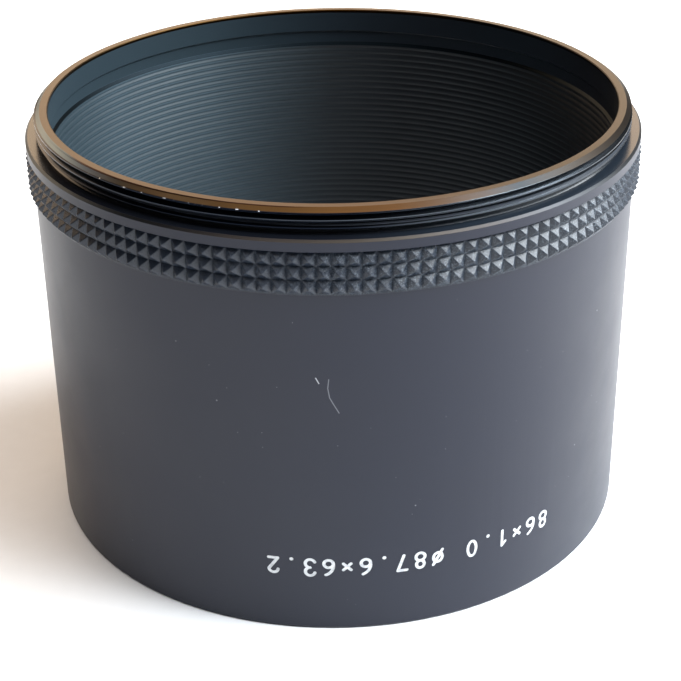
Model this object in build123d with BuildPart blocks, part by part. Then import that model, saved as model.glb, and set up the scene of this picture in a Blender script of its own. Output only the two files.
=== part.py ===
from build123d import *
from math import cos, degrees, radians, sin, tan
import os

# A screw-in metal lens hood, standing on its mouth. The origin is the centre of the mouth
# face and +Z is the optical axis, pointing at the lens. The barrel is a turned tube with
# anti-reflection ribs in its bore. The mount collar slips over a neck at the barrel's upper
# end, butts on the neck's top face and is held by three grub screws. A rubber grip ring
# lies in the groove between the collar's flange and the barrel's shoulder, over the screws.
# All lengths are in millimetres.

# ---- driving dimensions ----
overall_height = 63.2
barrel_radius = 43.8
bore_radius = 41.0  # clear bore of the rim and of the crests of the ribs

# barrel
shoulder_height = 51.9  # where the outside steps in to the neck
neck_radius = 42.2
neck_height = 58.3  # top face of the neck, the stop for the collar
mouth_round = 0.4
mouth_bevel = 0.5

# anti-reflection ribs
rib_pitch = 1.0
rib_depth = 0.12
rib_groove_width = 0.9
rib_first_height = 2.6  # centre of the groove nearest the mouth
rib_count = 55

# recess in the bore where the ribs end: the neck and the collar meet inside it
recess_radius = bore_radius + 0.3
recess_bottom = rib_first_height + rib_count * rib_pitch
recess_top = 59.35

# mount collar
thread_major_radius = 43.0  # M86 x 1 male thread
thread_pitch = 1.0
rim_flat_radius = 42.15  # outer edge of the flat rim
rim_chamfer_drop = 0.52
rim_edge_break = 0.12
thread_crest_height = 61.7  # height of a thread crest on the -Y side
groove_depth = 0.7 * thread_pitch  # nearly sharp at the root
groove_half_width = 7 / 16 * thread_pitch  # leaves a crest flat of an eighth of the pitch
flank_slope = tan(radians(30))
groove_overrun = 0.06  # how far the cut stands clear of the crest and of the rim
groove_start = thread_crest_height - 1.25 * thread_pitch  # on the +X side, beside the relief
relief_top = 60.6  # the thread ends here, and a narrow relief parts it from the seat
relief_floor_radius = thread_major_radius - groove_depth
relief_corner = 0.2
seat_height = 59.69  # face that bears on the lens
flange_radius = 44.5
flange_bottom = 58.05
flange_top_bevel = 0.3
flange_edge_break = 0.1
skirt_radius = 43.3
skirt_bottom = 52.1
slip_clearance = 0.04  # radial, between the skirt and the neck

# grip ring
grip_columns = 145
grip_rows = 3
grip_row_height = 1.87
grip_tip_radius = 44.75
grip_root_radius = 43.86
grip_column_phase = 1.8  # degrees from -Y towards +X to the first groove
grip_gap = 0.03  # all round the ring
grip_rim_radius = 44.4  # plain rim above the top row

# grub screws
screw_height = 55.0
screw_radius = 0.8  # M1.6
screw_hole_clearance = 0.03
screw_length = 1.15
screw_recess = 0.12  # below the skirt's outside
screw_socket_width = 0.7
screw_socket_depth = 0.5
screw_dimple_depth = 0.2
screw_angles = (60, 180, 300)

# size marking, read with the mouth upwards
marking_groups = (("86×1.0", 41.5), ("Ø87.6×63.2", 18.0))  # text, start angle from -Y
marking_height = 10.4  # centre line above the mouth
character_height = 2.9
character_width = 1.75
character_pitch = 2.55
stroke_width = 0.46
engraving_depth = 0.16
paint_below_surface = 0.03


# ---- helpers ----
def polar_point(radius, angle, height):
    """A point at an angle in degrees from -Y towards +X."""
    return (radius * sin(radians(angle)), -radius * cos(radians(angle)), height)


def radial_plane(radius, angle, height):
    """A plane square to the radius at an angle, facing outwards."""
    return Plane(origin=polar_point(radius, angle, height), z_dir=polar_point(1, angle, 0))


# ---- engraved characters ----
half_width = (character_width - stroke_width) / 2
half_height = (character_height - stroke_width) / 2
bowl_centre = half_height - half_width * 0.9


def stroke(start, end):
    """A straight stroke with round ends, as an engraving cutter leaves it."""
    with BuildLine(Plane.XY) as centre_line:
        Line(start, end)
    SlotArc(centre_line.edge(), stroke_width)


def curve(start, middle, end):
    """A curved stroke with round ends."""
    with BuildLine(Plane.XY) as centre_line:
        ThreePointArc(start, middle, end)
    SlotArc(centre_line.edge(), stroke_width)


def oval(centre_y, radius_x, radius_y):
    """A closed oval stroke."""
    with Locations((0, centre_y)):
        Ellipse(radius_x + stroke_width / 2, radius_y + stroke_width / 2)
        Ellipse(radius_x - stroke_width / 2, radius_y - stroke_width / 2, mode=Mode.SUBTRACT)


def draw_zero():
    oval(0, half_width, half_height)


def draw_one():
    stroke((0.1, -half_height), (0.1, half_height))
    stroke((0.1, half_height), (-half_width * 0.7, half_height * 0.55))


def draw_two():
    curve((-half_width, bowl_centre), (0, half_height), (half_width, bowl_centre))
    stroke((half_width, bowl_centre), (-half_width, -half_height))
    stroke((-half_width, -half_height), (half_width, -half_height))


def draw_three():
    curve((-half_width, half_height * 0.72), (half_width, half_height * 0.5), (0, 0.05))
    curve((0, 0.05), (half_width, -half_height * 0.5), (-half_width, -half_height * 0.72))


def draw_six():
    oval(-half_height + half_width * 0.95, half_width, half_width * 0.95)
    curve((-half_width, -half_height * 0.45), (-half_width * 0.7, half_height * 0.4),
          (half_width * 0.6, half_height))


def draw_seven():
    stroke((-half_width, half_height), (half_width, half_height))
    stroke((half_width, half_height), (-half_width * 0.3, -half_height))


def draw_eight():
    oval(half_height * 0.5, half_width * 0.86, half_height * 0.5)
    oval(-half_height * 0.5, half_width, half_height * 0.5)


def draw_point():
    with Locations((0, -half_height)):
        Circle(stroke_width * 0.62)


def draw_times():
    reach = half_width * 0.8
    stroke((-reach, -reach - 0.1), (reach, reach - 0.1))
    stroke((-reach, reach - 0.1), (reach, -reach - 0.1))


def draw_diameter():
    oval(0, half_width, half_width * 1.15)
    stroke((-half_width, -half_height * 0.95), (half_width, half_height * 0.95))


draw_character = {
    "0": draw_zero,
    "1": draw_one,
    "2": draw_two,
    "3": draw_three,
    "6": draw_six,
    "7": draw_seven,
    "8": draw_eight,
    ".": draw_point,
    "×": draw_times,
    "Ø": draw_diameter,
}


def marking_plane(angle):
    """The tangent plane of the barrel at an angle, upside down while the hood stands."""
    across = (-cos(radians(angle)), -sin(radians(angle)), 0)
    outward = (sin(radians(angle)), -cos(radians(angle)), 0)
    origin = polar_point(barrel_radius, angle, marking_height)
    return Plane(origin=origin, x_dir=across, z_dir=outward)


# Every character, cut down to a shell as deep as the engraving.
degrees_per_character = degrees(character_pitch / barrel_radius)
with BuildPart() as engraving:
    for text, start_angle in marking_groups:
        for place, character in enumerate(text):
            with BuildSketch(marking_plane(start_angle - place * degrees_per_character)):
                draw_character[character]()
            extrude(amount=1, both=True)
    with BuildSketch():
        Circle(barrel_radius + 0.2)
        Circle(barrel_radius - engraving_depth, mode=Mode.SUBTRACT)
    extrude(amount=overall_height / 2, mode=Mode.INTERSECT)


# ---- barrel ----
with BuildPart() as barrel:
    with BuildSketch(Plane.XZ):
        with BuildLine():
            Polyline(
                (bore_radius, mouth_bevel),
                (bore_radius + mouth_bevel, 0),
                (barrel_radius, 0),
                (barrel_radius, shoulder_height),
                (neck_radius, shoulder_height),
                (neck_radius, neck_height),
                (recess_radius, neck_height),
                (recess_radius, recess_bottom),
                (bore_radius, recess_bottom - rib_groove_width / 2),
                close=True,
            )
        make_face()
    revolve(axis=Axis.Z)
    mouth_edges = barrel.edges().group_by(Axis.Z)[0]
    fillet(mouth_edges.sort_by(SortBy.RADIUS)[-1], mouth_round)
    # V grooves leave narrow rib crests at the bore radius
    with BuildSketch(Plane.XZ):
        for index in range(rib_count):
            with BuildLine():
                height = rib_first_height + index * rib_pitch
                Polyline(
                    (bore_radius - 0.05, height - rib_groove_width / 2 - 0.02),
                    (bore_radius + rib_depth, height),
                    (bore_radius - 0.05, height + rib_groove_width / 2 + 0.02),
                    close=True,
                )
            make_face()
    revolve(axis=Axis.Z, mode=Mode.SUBTRACT)
    # dimples in the neck for the points of the grub screws
    for angle in screw_angles:
        with BuildSketch(radial_plane(neck_radius, angle, screw_height)):
            Circle(screw_radius + screw_hole_clearance)
        extrude(amount=screw_dimple_depth, both=True, mode=Mode.SUBTRACT)
    add(engraving.part, mode=Mode.SUBTRACT)


# ---- mount collar ----
with BuildPart() as mount_collar:
    with BuildSketch(Plane.XZ):
        with BuildLine():
            Polyline(
                (recess_radius, neck_height),
                (recess_radius, recess_top),
                (bore_radius, recess_top + recess_radius - bore_radius),
                (bore_radius, overall_height - rim_edge_break),
                (bore_radius + rim_edge_break, overall_height),
                (rim_flat_radius, overall_height),
                (thread_major_radius, overall_height - rim_chamfer_drop),
                (thread_major_radius, relief_top),
                (relief_floor_radius, relief_top - groove_depth * flank_slope),
                (relief_floor_radius, seat_height + relief_corner),
                (relief_floor_radius + relief_corner, seat_height),
                (flange_radius - flange_top_bevel, seat_height),
                (flange_radius, seat_height - flange_top_bevel),
                (flange_radius, flange_bottom + flange_edge_break),
                (flange_radius - flange_edge_break, flange_bottom),
                (skirt_radius, flange_bottom),
                (skirt_radius, skirt_bottom),
                (neck_radius + slip_clearance, skirt_bottom),
                (neck_radius + slip_clearance, neck_height),
                close=True,
            )
        make_face()
    revolve(axis=Axis.Z)
    # the thread is one helical V groove, cut from above the rim down into the relief
    with BuildLine():
        thread_path = Helix(
            thread_pitch,
            overall_height + groove_overrun - groove_start,
            thread_major_radius,
            center=(0, 0, groove_start),
        )
    with BuildSketch(Plane(origin=thread_path @ 0, x_dir=(1, 0, 0), z_dir=thread_path % 0)):
        with BuildLine():
            Polyline(
                (groove_overrun, -groove_half_width - groove_overrun * flank_slope),
                (-groove_depth, groove_depth * flank_slope - groove_half_width),
                (-groove_depth, groove_half_width - groove_depth * flank_slope),
                (groove_overrun, groove_half_width + groove_overrun * flank_slope),
                close=True,
            )
        make_face()
    sweep(path=thread_path, is_frenet=True, mode=Mode.SUBTRACT)
    # clearance holes for the grub screws
    for angle in screw_angles:
        with BuildSketch(radial_plane(neck_radius, angle, screw_height)):
            Circle(screw_radius + screw_hole_clearance)
        extrude(amount=flange_radius - neck_radius, mode=Mode.SUBTRACT)


# ---- rubber grip ring ----
grip_bottom = shoulder_height + grip_gap
grip_top = flange_bottom - grip_gap
with BuildPart() as grip_ring:
    # a ring with one ridge for each row
    row_points = []
    for row in range(grip_rows):
        row_points.append((grip_root_radius, grip_bottom + row * grip_row_height))
        row_points.append((grip_tip_radius, grip_bottom + (row + 0.5) * grip_row_height))
    rows_top = grip_bottom + grip_rows * grip_row_height
    with BuildSketch(Plane.XZ):
        with BuildLine():
            Polyline(
                (skirt_radius + grip_gap, grip_bottom),
                *row_points,
                (grip_root_radius, rows_top),
                (grip_rim_radius, grip_top - 0.15),
                (grip_rim_radius - 0.15, grip_top),
                (skirt_radius + grip_gap, grip_top),
                close=True,
            )
        make_face()
    revolve(axis=Axis.Z)
    # a star of as many teeth as there are columns: where it meets the ridges, pyramids stay
    column_angle = 360 / grip_columns
    star_points = []
    for column in range(grip_columns):
        groove_angle = grip_column_phase + column * column_angle
        star_points.append(polar_point(grip_root_radius, groove_angle, 0)[:2])
        star_points.append(polar_point(grip_tip_radius, groove_angle + column_angle / 2, 0)[:2])
    with BuildSketch(Plane.XY.offset(grip_bottom)):
        with BuildLine():
            Polyline(*star_points, close=True)
        make_face()
    extrude(amount=grip_top - grip_bottom, mode=Mode.INTERSECT)


# ---- grub screws ----
with BuildPart() as lock_screws:
    for angle in screw_angles:
        head_plane = radial_plane(skirt_radius - screw_recess, angle, screw_height)
        with BuildSketch(head_plane):
            Circle(screw_radius)
        extrude(amount=-screw_length)
        with BuildSketch(head_plane):
            RegularPolygon(screw_socket_width / 2, 6, major_radius=False)
        extrude(amount=-screw_socket_depth, mode=Mode.SUBTRACT)


# ---- paint in the engraving ----
with BuildPart() as size_marking:
    add(engraving.part)
    with BuildSketch():
        Circle(barrel_radius - paint_below_surface)
    extrude(amount=overall_height / 2, mode=Mode.INTERSECT)


barrel.part.label = "barrel"
mount_collar.part.label = "mount_collar"
grip_ring.part.label = "grip_ring"
lock_screws.part.label = "lock_screws"
size_marking.part.label = "size_marking"

os.makedirs("parts", exist_ok=True)
for piece in (barrel, mount_collar, grip_ring, lock_screws, size_marking):
    export_step(piece.part, f"parts/{piece.part.label}.step")
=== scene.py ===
import math
import random

import bpy
from mathutils import Matrix, Vector


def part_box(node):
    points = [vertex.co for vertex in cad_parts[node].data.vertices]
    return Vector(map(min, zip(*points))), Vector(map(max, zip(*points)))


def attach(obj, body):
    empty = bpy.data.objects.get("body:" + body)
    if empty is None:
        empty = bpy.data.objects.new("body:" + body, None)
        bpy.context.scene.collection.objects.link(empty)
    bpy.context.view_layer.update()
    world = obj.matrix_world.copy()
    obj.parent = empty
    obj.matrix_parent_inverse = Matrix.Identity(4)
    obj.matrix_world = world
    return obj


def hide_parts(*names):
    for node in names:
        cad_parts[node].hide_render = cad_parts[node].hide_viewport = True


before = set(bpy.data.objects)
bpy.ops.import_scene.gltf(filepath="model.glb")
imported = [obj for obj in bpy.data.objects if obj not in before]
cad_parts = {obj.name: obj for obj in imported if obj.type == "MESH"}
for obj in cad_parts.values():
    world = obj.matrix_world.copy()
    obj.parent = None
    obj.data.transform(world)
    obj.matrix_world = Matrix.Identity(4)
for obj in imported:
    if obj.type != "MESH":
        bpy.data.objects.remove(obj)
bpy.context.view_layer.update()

MM = 0.001

# ---- sizes: read from the frame, or repeated from the part, in metres ----
barrel_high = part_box("barrel")[1]
collar_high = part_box("mount_collar")[1]
grip_low, grip_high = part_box("grip_ring")
BARREL_RADIUS = barrel_high.x
RIM_HEIGHT = collar_high.z
GRIP_BOTTOM = grip_low.z
GRIP_TOP = grip_high.z

RIM_FLAT_RADIUS = 42.15 * MM
RIM_CHAMFER_DROP = 0.52 * MM
THREAD_RADIUS = 43.0 * MM
SEAT_HEIGHT = 59.69 * MM
RIBS_TOP = 57.6 * MM
RIB_PITCH = 1.0 * MM
BORE_LIMIT = 41.5 * MM  # between the bore and the outer surfaces
FIRST_SLOPE_DROP = 0.48 * MM
THREAD_INNER_LIMIT = 41.7 * MM
THREAD_OUTER_LIMIT = 44.1 * MM
MIDDLE_CREST_BOTTOM = 61.2 * MM
MIDDLE_CREST_TOP = 62.15 * MM
PAINTED_HIGHLIGHT_BOTTOM = 60.93 * MM
PAINTED_HIGHLIGHT_TOP = 61.08 * MM
RELIEF_TOP = 60.4 * MM
DUST_TOP = 51.0 * MM
FLANGE_RADIUS = 44.5 * MM
FLANGE_BEVEL = 0.3 * MM

GRIP_COLUMNS = 145
GRIP_ROWS = 3
GRIP_ROW_HEIGHT = 1.93 * MM
GRIP_ROWS_BOTTOM = 52.1 * MM
GRIP_TIP_RADIUS = 44.75 * MM
GRIP_ROOT_RADIUS = 43.86 * MM
GRIP_INNER_RADIUS = 43.33 * MM
GRIP_COLUMN_PHASE = math.radians(1.8)

MIX_COLOUR_SOCKETS = (0, 6, 7, 2)  # factor, first, second and result of a Mix node set to colour
MIX_NUMBER_SOCKETS = (0, 2, 3, 0)  # the same of a Mix node set to numbers


# ---- shader building ----
class Shader:
    """A material's node tree, with short calls for the nodes that the materials share."""

    def __init__(self, name):
        self.material = bpy.data.materials.new(name)
        self.material.use_nodes = True
        self.tree = self.material.node_tree
        self.surface = self.tree.nodes["Principled BSDF"]
        self.position = self.add("ShaderNodeTexCoord").outputs["Object"]
        x, y, self.height = self.split(self.position)
        self.angle = self.math("ARCTAN2", x, self.math("MULTIPLY", y, -1.0))  # from -Y towards +X
        squares = self.math("ADD", self.math("MULTIPLY", x, x), self.math("MULTIPLY", y, y))
        self.radius = self.math("SQRT", squares)
        self.around = self.math("MULTIPLY", self.angle, BARREL_RADIUS)
        self.side = self.math("DIVIDE", x, self.radius)  # -1 at the left, 1 at the right

    def add(self, kind, **settings):
        node = self.tree.nodes.new(kind)
        for name, value in settings.items():
            setattr(node, name, value)
        return node

    def put(self, socket, value):
        if isinstance(value, bpy.types.NodeSocket):
            self.tree.links.new(value, socket)
        elif isinstance(value, tuple) and len(value) == 3 and socket.type == "RGBA":
            socket.default_value = (*value, 1.0)
        else:
            socket.default_value = value

    def set(self, name, value):
        self.put(self.surface.inputs[name], value)

    def math(self, operation, first, second=0.0, third=0.0):
        node = self.add("ShaderNodeMath", operation=operation)
        for socket, value in zip(node.inputs, (first, second, third)):
            self.put(socket, value)
        return node.outputs[0]

    def split(self, vector):
        node = self.add("ShaderNodeSeparateXYZ")
        self.put(node.inputs[0], vector)
        return node.outputs

    def join(self, x, y, z):
        node = self.add("ShaderNodeCombineXYZ")
        for socket, value in zip(node.inputs, (x, y, z)):
            self.put(socket, value)
        return node.outputs[0]

    def noise(self, vector, grain, detail=2.0, roughness=0.5):
        """Smooth noise around 0.5 whose features are about a grain across, in metres."""
        node = self.add("ShaderNodeTexNoise")
        self.put(node.inputs["Vector"], vector)
        self.put(node.inputs["Scale"], 1.0 / grain)
        self.put(node.inputs["Detail"], detail)
        self.put(node.inputs["Roughness"], roughness)
        return node.outputs["Fac"]

    def specks(self, spacing, size, share):
        """Small spots, spacing apart, on a share of the places that could hold one."""
        node = self.add("ShaderNodeTexVoronoi")
        self.put(node.inputs["Vector"], self.position)
        self.put(node.inputs["Scale"], 1.0 / spacing)
        spot = self.ramp(node.outputs["Distance"], 0.5 * size / spacing, size / spacing, 1.0, 0.0)
        chosen = self.split(node.outputs["Color"])[0]
        return self.both(spot, self.ramp(chosen, 1.0 - share, 1.02 - share))

    def ramp(self, value, low, high, start=0.0, end=1.0):
        """start below low, end above high, and smooth in between."""
        node = self.add("ShaderNodeMapRange", interpolation_type="SMOOTHSTEP")
        for socket, number in zip(node.inputs, (value, low, high, start, end)):
            self.put(socket, number)
        return node.outputs[0]

    def above(self, value, edge, softness):
        return self.ramp(value, edge, edge + softness)

    def below(self, value, edge, softness):
        return self.ramp(value, edge, edge + softness, 1.0, 0.0)

    def between(self, value, low, high, softness):
        return self.both(self.above(value, low - softness, softness), self.below(value, high, softness))

    def both(self, *masks):
        result = masks[0]
        for mask in masks[1:]:
            result = self.math("MULTIPLY", result, mask)
        return result

    def mix(self, kind, sockets, factor, first, second):
        node = self.add("ShaderNodeMix", data_type=kind)
        for socket, value in zip(sockets, (factor, first, second)):
            self.put(node.inputs[socket], value)
        return node.outputs[sockets[3]]

    def blend(self, factor, first, second):
        """From the first colour at factor 0 to the second at 1."""
        return self.mix("RGBA", MIX_COLOUR_SOCKETS, factor, first, second)

    def colours(self, value, *stops):
        """A colour that runs through (value, colour) stops, for values from -1 to 1."""
        node = self.add("ShaderNodeValToRGB")
        self.put(node.inputs[0], self.math("MULTIPLY_ADD", value, 0.5, 0.5))
        elements = node.color_ramp.elements
        while len(elements) < len(stops):
            elements.new(0.5)
        for element, (place, colour) in zip(elements, stops):
            element.position = 0.5 + 0.5 * place
            element.color = (*colour, 1.0)
        return node.outputs[0]

    def shift(self, factor, first, second):
        """From the first number at factor 0 to the second at 1."""
        return self.mix("FLOAT", MIX_NUMBER_SOCKETS, factor, first, second)

    def line(self, start, end, half_width):
        """1 along a straight scratch between two (around, height) points on the barrel, in millimetres."""
        start, end = [MM * value for value in start], [MM * value for value in end]
        half_width *= MM
        run = (end[0] - start[0], end[1] - start[1])
        length = math.hypot(*run)
        across = (-run[1] / length, run[0] / length)
        sideways = self.math("SUBTRACT", self.around, start[0])
        upward = self.math("SUBTRACT", self.height, start[1])
        rise = self.math("MULTIPLY", upward, run[1] / length)
        along = self.math("MULTIPLY_ADD", sideways, run[0] / length, rise)
        rise = self.math("MULTIPLY", upward, across[1])
        aside = self.math("MULTIPLY_ADD", sideways, across[0], rise)
        close = self.below(self.math("ABSOLUTE", aside), 0.4 * half_width, 0.6 * half_width)
        return self.both(close, self.between(along, 0.0, length, half_width))

    def bump(self, height, distance):
        node = self.add("ShaderNodeBump")
        self.put(node.inputs["Height"], height)
        node.inputs["Strength"].default_value = 1.0
        node.inputs["Distance"].default_value = distance
        self.set("Normal", node.outputs[0])


# ---- materials ----
def anodised_material():
    """Black anodised aluminium: satin outside, dull in the bore, glossy in the thread, metallic on the rim
    with nicks at its edge.

    The colours that run from left to right aren't the finish alone. They are also painted light, painted
    shade and painted reflections of the room, matched to how the hood looks from the front, so they stay put
    when the lights change.
    """
    s = Shader("anodised_aluminium")
    inside = s.both(
        s.below(s.radius, BORE_LIMIT, 0.1 * MM),
        s.below(s.height, RIM_HEIGHT - 0.2 * MM, 0.05 * MM),
    )
    smooth_bore = s.both(inside, s.above(s.height, RIBS_TOP, 0.1 * MM))
    rim = s.above(s.height, RIM_HEIGHT - RIM_CHAMFER_DROP + 0.02 * MM, 0.02 * MM)
    flat = s.below(s.radius, RIM_FLAT_RADIUS - 0.03 * MM, 0.03 * MM)
    thread = s.both(
        s.above(s.height, SEAT_HEIGHT - 0.05 * MM, 0.03 * MM),
        s.between(s.radius, THREAD_INNER_LIMIT, THREAD_OUTER_LIMIT, 0.1 * MM),
    )
    bevel = s.both(
        s.between(s.height, SEAT_HEIGHT - FLANGE_BEVEL - 0.02 * MM, SEAT_HEIGHT + 0.1 * MM, 0.03 * MM),
        s.above(s.radius, FLANGE_RADIUS - FLANGE_BEVEL - 0.05 * MM, 0.03 * MM),
    )

    grain = s.noise(s.position, 0.11 * MM, detail=3.0)
    turning = s.noise(s.join(s.math("MULTIPLY", s.around, 0.02), s.radius, s.height), 0.08 * MM)
    smudge = s.noise(s.position, 16 * MM, detail=4.0, roughness=0.6)
    pale_specks = s.math("MAXIMUM", s.specks(2.6 * MM, 0.14 * MM, 0.12), s.specks(1.1 * MM, 0.07 * MM, 0.1))

    colour = s.blend(smudge, (0.008, 0.0095, 0.020), (0.011, 0.0135, 0.026))
    colour = s.blend(s.both(pale_specks, s.below(s.height, DUST_TOP, 1.0 * MM)), colour, (0.20, 0.20, 0.21))

    # the ribs' lower flanks are painted paler than their upper flanks, painted light that evens out the
    # shading on them, and both carry painted light that runs paler towards the left; each crest is half a
    # pitch from RIBS_TOP
    along_rib = s.math("FRACT", s.math("DIVIDE", s.math("SUBTRACT", s.height, RIBS_TOP), RIB_PITCH))
    upper_flank_painted_light = s.colours(
        s.side,
        (-1.0, (0.016, 0.026, 0.033)),
        (-0.85, (0.023, 0.036, 0.045)),
        (-0.5, (0.024, 0.037, 0.046)),
        (0.0, (0.012, 0.015, 0.018)),
        (0.3, (0.006, 0.007, 0.009)),
    )
    lower_flank_painted_light = s.colours(
        s.side,
        (-1.0, (0.022, 0.036, 0.045)),
        (-0.85, (0.047, 0.071, 0.088)),
        (-0.5, (0.054, 0.081, 0.100)),
        (0.0, (0.019, 0.023, 0.027)),
        (0.3, (0.008, 0.010, 0.013)),
    )
    colour = s.blend(inside, colour, s.blend(s.ramp(along_rib, 0.4, 0.6), lower_flank_painted_light, upper_flank_painted_light))
    # the first rib slope under the recess is painted dark as painted shade, and made metallic so it stays
    # dark
    first_slope_painted_shade = s.both(inside, s.between(s.height, RIBS_TOP - FIRST_SLOPE_DROP, RIBS_TOP, 0.02 * MM))
    colour = s.blend(first_slope_painted_shade, colour, (0.005, 0.0075, 0.0095))
    # the smooth bore's colour is painted light: paler on the left, darker on the right
    smooth_bore_painted_light = s.colours(s.side, (-0.5, (0.019, 0.030, 0.038)), (0.4, (0.007, 0.009, 0.014)))
    colour = s.blend(smooth_bore, colour, smooth_bore_painted_light)

    # the thread, the rim and the flange's bevel, from left to right, with painted reflections and painted
    # light on them
    thread_painted_reflection = s.colours(s.side, (0.05, (0.006, 0.008, 0.013)), (0.4, (0.050, 0.058, 0.068)))
    crest_painted_reflection = s.colours(s.side, (-0.3, (0.022, 0.026, 0.034)), (0.3, (0.055, 0.062, 0.072)))
    middle_crest = s.both(
        s.above(s.radius, THREAD_RADIUS - 0.08 * MM, 0.03 * MM),
        s.between(s.height, MIDDLE_CREST_BOTTOM, MIDDLE_CREST_TOP, 0.05 * MM),
    )
    colour = s.blend(thread, colour, s.blend(middle_crest, thread_painted_reflection, crest_painted_reflection))
    # a paler band round the thread's flank is a painted highlight
    thread_painted_highlight = s.both(thread, s.between(s.height, PAINTED_HIGHLIGHT_BOTTOM, PAINTED_HIGHLIGHT_TOP, 0.03 * MM))
    colour = s.blend(thread_painted_highlight, colour, (0.034, 0.038, 0.047))
    relief = s.both(thread, s.below(s.height, RELIEF_TOP, 0.05 * MM))
    # the relief's colour is painted light, darker from the middle leftwards and paler towards the right
    relief_painted_light = s.colours(s.side, (0.0, (0.005, 0.006, 0.009)), (0.4, (0.010, 0.014, 0.020)))
    metallic_thread = s.math("SUBTRACT", thread, s.math("MAXIMUM", thread_painted_highlight, relief))
    colour = s.blend(relief, colour, relief_painted_light)
    # the chamfer and the flat carry painted reflections of the room, orange-brown towards the left and grey
    # at the right
    chamfer_painted_reflection = s.colours(
        s.side,
        (-0.88, (0.08, 0.11, 0.13)),
        (-0.76, (0.030, 0.045, 0.070)),
        (-0.64, (0.036, 0.031, 0.024)),
        (-0.48, (0.17, 0.105, 0.053)),
        (-0.34, (0.085, 0.045, 0.018)),
        (-0.17, (0.070, 0.035, 0.012)),
        (0.0, (0.080, 0.038, 0.013)),
        (0.18, (0.070, 0.034, 0.014)),
        (0.35, (0.044, 0.030, 0.022)),
        (0.55, (0.020, 0.022, 0.024)),
        (0.80, (0.045, 0.036, 0.029)),
    )
    flat_painted_reflection = s.colours(
        s.side, (-0.8, (0.037, 0.021, 0.008)), (0.0, (0.030, 0.012, 0.002)), (0.6, (0.012, 0.008, 0.006))
    )
    colour = s.blend(rim, colour, s.blend(flat, chamfer_painted_reflection, flat_painted_reflection))
    # the flange's bevel carries painted reflections that change from left to right
    bevel_painted_reflection = s.colours(
        s.side,
        (-0.80, (0.045, 0.055, 0.065)),
        (-0.60, (0.018, 0.022, 0.027)),
        (-0.30, (0.050, 0.042, 0.038)),
        (0.05, (0.045, 0.038, 0.032)),
        (0.40, (0.031, 0.028, 0.027)),
        (0.64, (0.036, 0.037, 0.040)),
        (0.80, (0.024, 0.025, 0.027)),
    )
    colour = s.blend(bevel, colour, bevel_painted_reflection)

    # a painted shade line along the rim where the flat meets the chamfer at the left, a painted highlight on
    # the edge below the chamfer at the right, and nicks
    rim_painted_shade_line = s.both(rim, s.between(s.radius, RIM_FLAT_RADIUS, RIM_FLAT_RADIUS + 0.14 * MM, 0.03 * MM))
    rim_painted_shade_line = s.both(rim_painted_shade_line, s.between(s.angle, math.radians(-50), math.radians(-10), math.radians(8)))
    colour = s.blend(rim_painted_shade_line, colour, (0.03, 0.012, 0.006))
    chamfer_foot = RIM_HEIGHT - RIM_CHAMFER_DROP
    edge = s.both(
        s.between(s.height, chamfer_foot - 0.04 * MM, chamfer_foot + 0.03 * MM, 0.02 * MM),
        s.above(s.radius, THREAD_RADIUS - 0.2 * MM, 0.05 * MM),
    )
    # the edge below the chamfer at the right gets a painted highlight
    painted_highlight_edge = s.both(edge, s.between(s.angle, math.radians(28), math.radians(40), math.radians(10)))
    colour = s.blend(painted_highlight_edge, colour, (0.10, 0.115, 0.125))
    nicks = s.both(
        edge,
        s.between(s.angle, math.radians(-47), math.radians(-12), math.radians(3)),
        s.ramp(s.noise(s.join(s.around, 0.0, 0.0), 1.3 * MM, detail=4.0), 0.57, 0.61),
    )
    nicks = s.math("MAXIMUM", nicks, s.both(metallic_thread, s.specks(1.9 * MM, 0.11 * MM, 0.10)))
    colour = s.blend(nicks, colour, (0.55, 0.56, 0.58))

    # a short tick and a hairline scratch on the front of the barrel, as (around, height) in millimetres
    scratches = s.line((-2.75, 40.1), (-2.35, 39.3), 0.1)
    hairline = ((-1.07, 39.9), (-1.22, 38.6), (-1.0, 37.2), (-0.55, 36.3), (0.2, 34.9))
    for start, end in zip(hairline, hairline[1:]):
        scratches = s.math("MAXIMUM", scratches, s.math("MULTIPLY", s.line(start, end, 0.09), 0.35))
    colour = s.blend(scratches, colour, (0.42, 0.43, 0.46))
    s.set("Base Color", colour)
    # metallic where the painted reflections on the thread, rim and bevel and the painted shade on the first
    # rib slope lie
    metallic_parts = s.math("MAXIMUM", s.math("MAXIMUM", metallic_thread, first_slope_painted_shade), s.math("MAXIMUM", rim, bevel))
    s.set("Metallic", metallic_parts)

    roughness = s.math("MULTIPLY_ADD", grain, 0.06, s.ramp(smudge, 0.3, 0.7, 0.36, 0.42))
    roughness = s.shift(inside, roughness, 0.45)
    roughness = s.shift(smooth_bore, roughness, 0.32)
    roughness = s.shift(thread, roughness, 0.24)
    roughness = s.shift(rim, roughness, 0.34)
    s.set("Roughness", roughness)
    s.surface.inputs["IOR"].default_value = 1.39
    s.bump(s.math("ADD", s.math("MULTIPLY", grain, 0.5), s.math("MULTIPLY", turning, 0.5)), 0.004 * MM)
    return s.material


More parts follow.
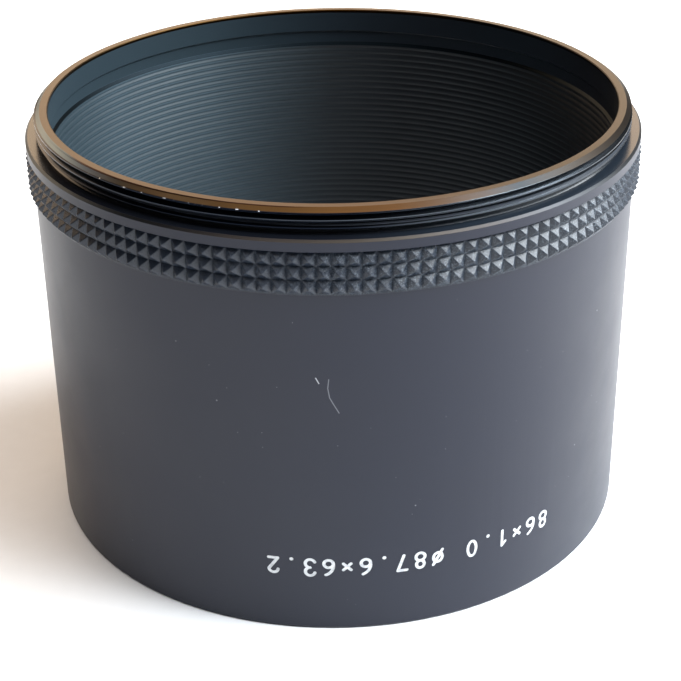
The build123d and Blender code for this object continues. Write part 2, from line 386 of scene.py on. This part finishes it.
def rubber_material():
    """Moulded black rubber with a coarse skin and pale dusty specks caught on it, which are also painted
    glints, laid thicker towards the right.
    """
    s = Shader("grip_rubber")
    skin = s.noise(s.position, 0.22 * MM, detail=4.0, roughness=0.7)
    patches = s.noise(s.position, 5.0 * MM, detail=2.0)
    pale_specks = s.ramp(s.noise(s.position, 0.2 * MM, detail=3.0, roughness=0.7), 0.50, 0.68)
    # the specks are laid thicker towards the right, which makes them painted glints there as well as dirt
    pale_specks = s.both(pale_specks, s.ramp(patches, 0.35, 0.65, 0.4, 1.0), s.ramp(s.side, -0.45, 0.45, 0.05, 1.0))
    colour = s.blend(patches, (0.009, 0.013, 0.022), (0.016, 0.022, 0.034))
    colour = s.blend(pale_specks, colour, (0.15, 0.18, 0.21))
    s.set("Base Color", colour)
    s.set("Roughness", s.ramp(skin, 0.3, 0.7, 0.24, 0.40))
    s.surface.inputs["IOR"].default_value = 1.44
    s.bump(skin, 0.035 * MM)
    return s.material


def paint_material():
    """White paint that fills the engraved characters."""
    s = Shader("marking_paint")
    grain = s.noise(s.position, 0.15 * MM, detail=3.0)
    wear = s.ramp(s.noise(s.position, 0.6 * MM, detail=3.0), 0.3, 0.6)
    s.set("Base Color", s.blend(wear, (0.50, 0.51, 0.53), (0.72, 0.73, 0.74)))
    s.set("Roughness", s.ramp(grain, 0.3, 0.7, 0.5, 0.65))
    s.bump(grain, 0.01 * MM)
    return s.material


def screw_material():
    """Black oxide steel."""
    s = Shader("black_steel")
    grain = s.noise(s.position, 0.12 * MM, detail=3.0)
    s.set("Base Color", s.blend(grain, (0.05, 0.05, 0.055), (0.09, 0.09, 0.095)))
    s.surface.inputs["Metallic"].default_value = 0.8
    s.set("Roughness", s.ramp(grain, 0.3, 0.7, 0.35, 0.5))
    s.bump(grain, 0.004 * MM)
    return s.material


def floor_material():
    """Plain pale tabletop with a barely visible grain."""
    s = Shader("pale_table")
    grain = s.noise(s.position, 3.0 * MM, detail=3.0)
    s.set("Base Color", s.blend(grain, (0.80, 0.80, 0.81), (0.84, 0.84, 0.85)))
    s.set("Roughness", 0.6)
    s.bump(grain, 0.005 * MM)
    return s.material


# ---- rubber grip ring ----
def on_ring(radius, angle, height):
    """A point at an angle in radians from -Y towards +X."""
    return (radius * math.sin(angle), -radius * math.cos(angle), height)


def add_grip(material):
    """The ring with its pyramids: rubbed tips, soft ridges and small unevenness, closed all round."""
    column_angle = math.tau / GRIP_COLUMNS
    depth = GRIP_TIP_RADIUS - GRIP_ROOT_RADIUS
    cut = 0.1  # how much of a half cell a ridge's chamfer takes
    chance = random.Random(4)
    points = []
    faces = []

    def point(radius, angle, height):
        points.append(on_ring(radius, angle, height))
        return len(points) - 1

    # the groove net: one column's part of a horizontal line is a crossing and two chamfer feet
    def net_line(height):
        line = []
        for column in range(GRIP_COLUMNS):
            for share in (0.0, cut / 2, 1.0 - cut / 2):
                angle = GRIP_COLUMN_PHASE + (column + share) * column_angle
                line.append(point(GRIP_ROOT_RADIUS, angle, height))
        return line

    lines = [net_line(GRIP_ROWS_BOTTOM + row * GRIP_ROW_HEIGHT) for row in range(GRIP_ROWS + 1)]
    feet = []
    for row in range(GRIP_ROWS):
        base = GRIP_ROWS_BOTTOM + row * GRIP_ROW_HEIGHT
        pairs = []
        for column in range(GRIP_COLUMNS):
            angle = GRIP_COLUMN_PHASE + column * column_angle
            heights = (base + cut / 2 * GRIP_ROW_HEIGHT, base + (1.0 - cut / 2) * GRIP_ROW_HEIGHT)
            pairs.append([point(GRIP_ROOT_RADIUS, angle, height) for height in heights])
        feet.append(pairs)

    def ring(row, column, reach, lift, shift):
        """Eight points round a pyramid, reach half cells out from its axis."""
        inner = max(reach - cut, 0.4 * reach)
        corners = ((-inner, -reach), (inner, -reach), (reach, -inner), (reach, inner),
                   (inner, reach), (-inner, reach), (-reach, inner), (-reach, -inner))
        found = []
        for across, upward in corners:
            angle = GRIP_COLUMN_PHASE + (column + 0.5 + across / 2 + shift[0]) * column_angle
            height = GRIP_ROWS_BOTTOM + (row + 0.5 + upward / 2 + shift[1]) * GRIP_ROW_HEIGHT
            found.append(point(GRIP_ROOT_RADIUS + lift * depth, angle, height))
        return found

    count = 3 * GRIP_COLUMNS
    for row in range(GRIP_ROWS):
        for column in range(GRIP_COLUMNS):
            low = [lines[row][(3 * column + step) % count] for step in range(4)]
            high = [lines[row + 1][(3 * column + step) % count] for step in range(4)]
            left = feet[row][column]
            right = feet[row][(column + 1) % GRIP_COLUMNS]
            foot = [low[1], low[2], right[0], right[1], high[2], high[1], left[1], left[0]]
            faces.extend([(low[0], low[1], left[0]), (low[2], low[3], right[0])])
            faces.extend([(high[1], high[0], left[1]), (high[3], high[2], right[1])])
            tip = 0.07 + 0.09 * chance.random()
            shift = (chance.uniform(-0.02, 0.02), chance.uniform(-0.02, 0.02))
            middle = ring(row, column, 0.5, 0.5 + chance.uniform(-0.02, 0.02), (0, 0))
            top = ring(row, column, tip, 1.0 - tip, shift)
            for below, above in ((foot, middle), (middle, top)):
                for side in range(8):
                    after = (side + 1) % 8
                    faces.append((below[side], below[after], above[after], above[side]))
            middle_angle = GRIP_COLUMN_PHASE + (column + 0.5 + shift[0]) * column_angle
            middle_height = GRIP_ROWS_BOTTOM + (row + 0.5 + shift[1]) * GRIP_ROW_HEIGHT
            crown = point(GRIP_ROOT_RADIUS + (1.0 - 0.6 * tip) * depth, middle_angle, middle_height)
            for side in range(8):
                faces.append((top[side], top[(side + 1) % 8], crown))

    # the thin lip above the pyramids, the top, the inside, the bottom and the plain edge below the pyramids
    outline = (
        (GRIP_ROOT_RADIUS + 0.10 * MM, GRIP_TOP - 0.11 * MM),
        (GRIP_ROOT_RADIUS + 0.14 * MM, GRIP_TOP - 0.04 * MM),
        (GRIP_ROOT_RADIUS + 0.08 * MM, GRIP_TOP),
        (GRIP_INNER_RADIUS, GRIP_TOP),
        (GRIP_INNER_RADIUS, GRIP_BOTTOM),
        (GRIP_ROOT_RADIUS - 0.03 * MM, GRIP_BOTTOM),
        (GRIP_ROOT_RADIUS, GRIP_BOTTOM + 0.03 * MM),
    )
    previous = lines[GRIP_ROWS]
    for radius, height in outline:
        current = []
        for column in range(GRIP_COLUMNS):
            for share in (0.0, cut / 2, 1.0 - cut / 2):
                current.append(point(radius, GRIP_COLUMN_PHASE + (column + share) * column_angle, height))
        for place in range(count):
            after = (place + 1) % count
            faces.append((previous[place], previous[after], current[after], current[place]))
        previous = current
    for place in range(count):
        after = (place + 1) % count
        faces.append((previous[place], previous[after], lines[0][after], lines[0][place]))

    mesh = bpy.data.meshes.new("grip_pyramids")
    mesh.from_pydata(points, [], faces)
    mesh.materials.append(material)
    grip = bpy.data.objects.new("grip_pyramids", mesh)
    bpy.context.scene.collection.objects.link(grip)
    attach(grip, "root")
    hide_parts("grip_ring")


def finish_node(node, material):
    """Gives a CAD node its finish."""
    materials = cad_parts[node].data.materials
    materials.clear()
    materials.append(material)


# ---- table, light and camera ----
def add_floor():
    half = 6.0
    mesh = bpy.data.meshes.new("table_top")
    corners = [(-half, -half, 0), (half, -half, 0), (half, half, 0), (-half, half, 0)]
    mesh.from_pydata(corners, [], [(0, 1, 2, 3)])
    mesh.materials.append(floor_material())
    floor = bpy.data.objects.new("table_top", mesh)
    bpy.context.scene.collection.objects.link(floor)


def add_panel(name, azimuth, elevation, distance, size, radiance, colour):
    """A soft lamp that faces the hood, from an azimuth in degrees from -Y towards +X."""
    centre = Vector((0, 0, 0.045))
    level = distance * math.cos(math.radians(elevation))
    rise = distance * math.sin(math.radians(elevation))
    place = centre + Vector(on_ring(level, math.radians(azimuth), rise))
    lamp = bpy.data.lights.new(name, "AREA")
    lamp.shape = "RECTANGLE"
    lamp.size, lamp.size_y = size
    lamp.energy = radiance * math.pi * size[0] * size[1]
    lamp.color = colour
    panel = bpy.data.objects.new(name, lamp)
    panel.location = place
    panel.rotation_euler = (centre - place).to_track_quat("-Z", "Y").to_euler()
    panel.visible_camera = False
    bpy.context.scene.collection.objects.link(panel)


def add_lights():
    add_panel("window", 90, 42, 1.0, (0.9, 0.9), 15.5, (0.90, 0.96, 1.0))
    add_panel("side_window", 58, 50, 1.0, (0.4, 0.45), 6.0, (0.92, 0.97, 1.0))
    add_panel("warm_wall", 198, 28, 1.2, (2.0, 0.8), 3.2, (1.0, 0.74, 0.50))
    add_panel("overhead", 0, 80, 1.2, (1.0, 1.0), 2.4, (0.97, 0.98, 1.0))
    world = bpy.data.worlds.new("room")
    world.use_nodes = True
    background = world.node_tree.nodes["Background"]
    background.inputs["Color"].default_value = (0.92, 0.95, 1.0, 1)
    background.inputs["Strength"].default_value = 0.05
    bpy.context.scene.world = world


def add_camera():
    """Close above the table, in front, looking down at 28 degrees."""
    pitch = math.radians(28.04)
    yaw = math.radians(0.16)
    roll = math.radians(-0.785)
    forward = Vector((math.sin(yaw) * math.cos(pitch), math.cos(yaw) * math.cos(pitch), -math.sin(pitch)))
    level = Vector((math.cos(yaw), -math.sin(yaw), 0))
    upward = level.cross(forward)
    right = math.cos(roll) * level + math.sin(roll) * upward
    top = math.cos(roll) * upward - math.sin(roll) * level
    lens = bpy.data.cameras.new("camera")
    lens.sensor_width = 36.0
    lens.lens = 85.46
    lens.clip_start = 0.01
    camera = bpy.data.objects.new("camera", lens)
    turn = Matrix((right, top, -forward)).transposed().to_4x4()
    camera.matrix_world = Matrix.Translation((0, -0.22412, 0.14160)) @ turn
    bpy.context.scene.collection.objects.link(camera)
    bpy.context.scene.camera = camera


anodised = anodised_material()
finish_node("barrel", anodised)
finish_node("mount_collar", anodised)
finish_node("lock_screws", screw_material())
finish_node("size_marking", paint_material())
add_grip(rubber_material())
add_floor()
add_lights()
add_camera()
bpy.context.scene.view_settings.view_transform = "Standard"
